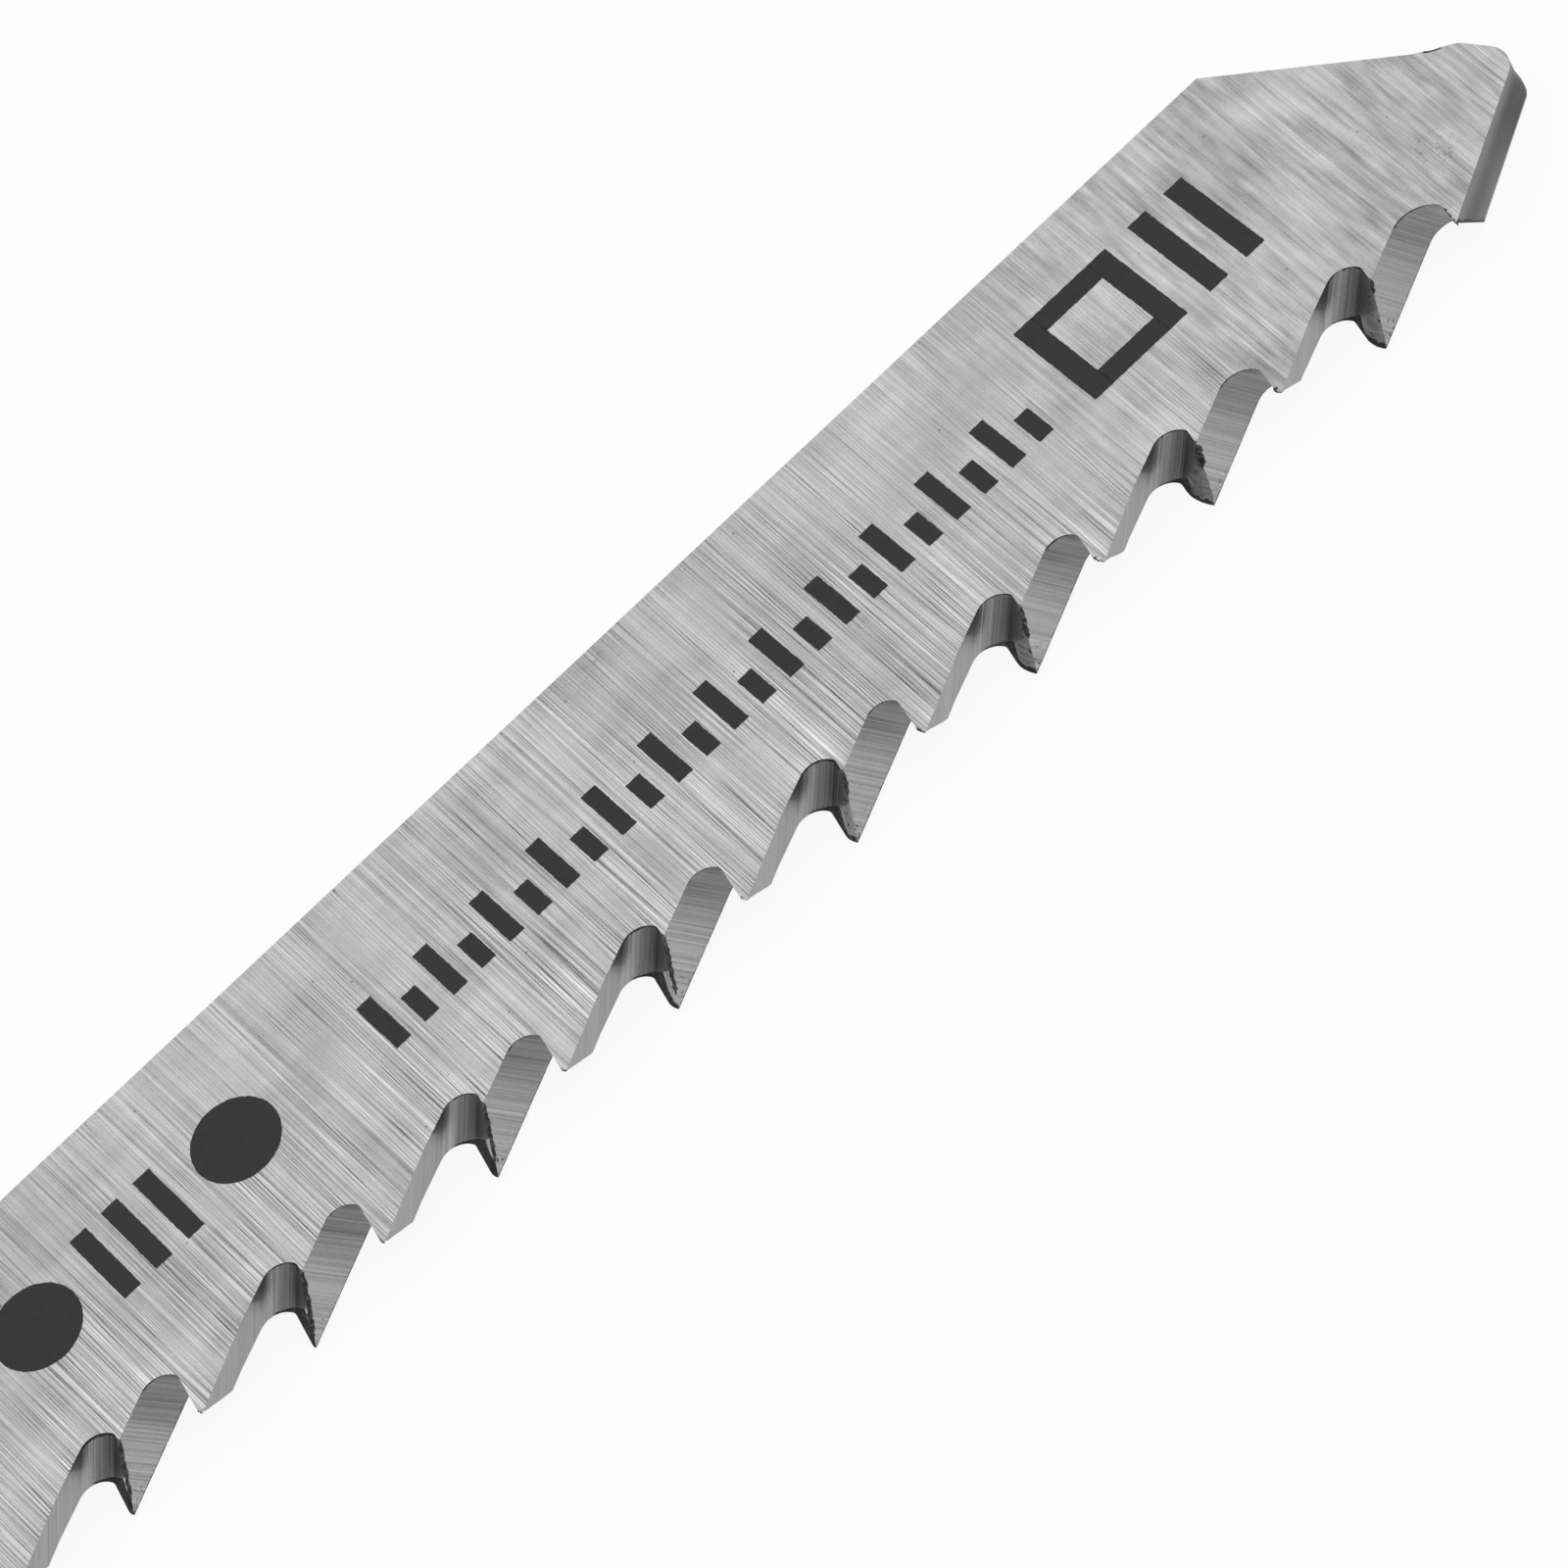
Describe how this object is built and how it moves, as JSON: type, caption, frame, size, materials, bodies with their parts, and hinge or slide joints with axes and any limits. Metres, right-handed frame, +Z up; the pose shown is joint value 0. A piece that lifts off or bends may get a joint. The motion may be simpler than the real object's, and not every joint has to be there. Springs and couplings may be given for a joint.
{
  "type": "jigsaw blade",
  "caption": "Jigsaw blade for wood, lying on its side, with a T-shaped shank, a tapered ground body, alternately bevelled teeth and a slanted tip.",
  "frame": {"origin": "half way along the blade on the axis of the shank, in the plane that the shank's lower face lies on", "axes": "+X along the blade to its tip, +Y across the blade towards its smooth back with the teeth on the -Y side, +Z up out of the upper side face"},
  "size_m": [0.1, 0.01, 0.0014],
  "materials": {
    "ground_steel": "bare steel, fine ground lines across the body"
  },
  "bodies": {
    "root": {"jigsaw_blade": "ground_steel"}
  },
  "joints": []
}
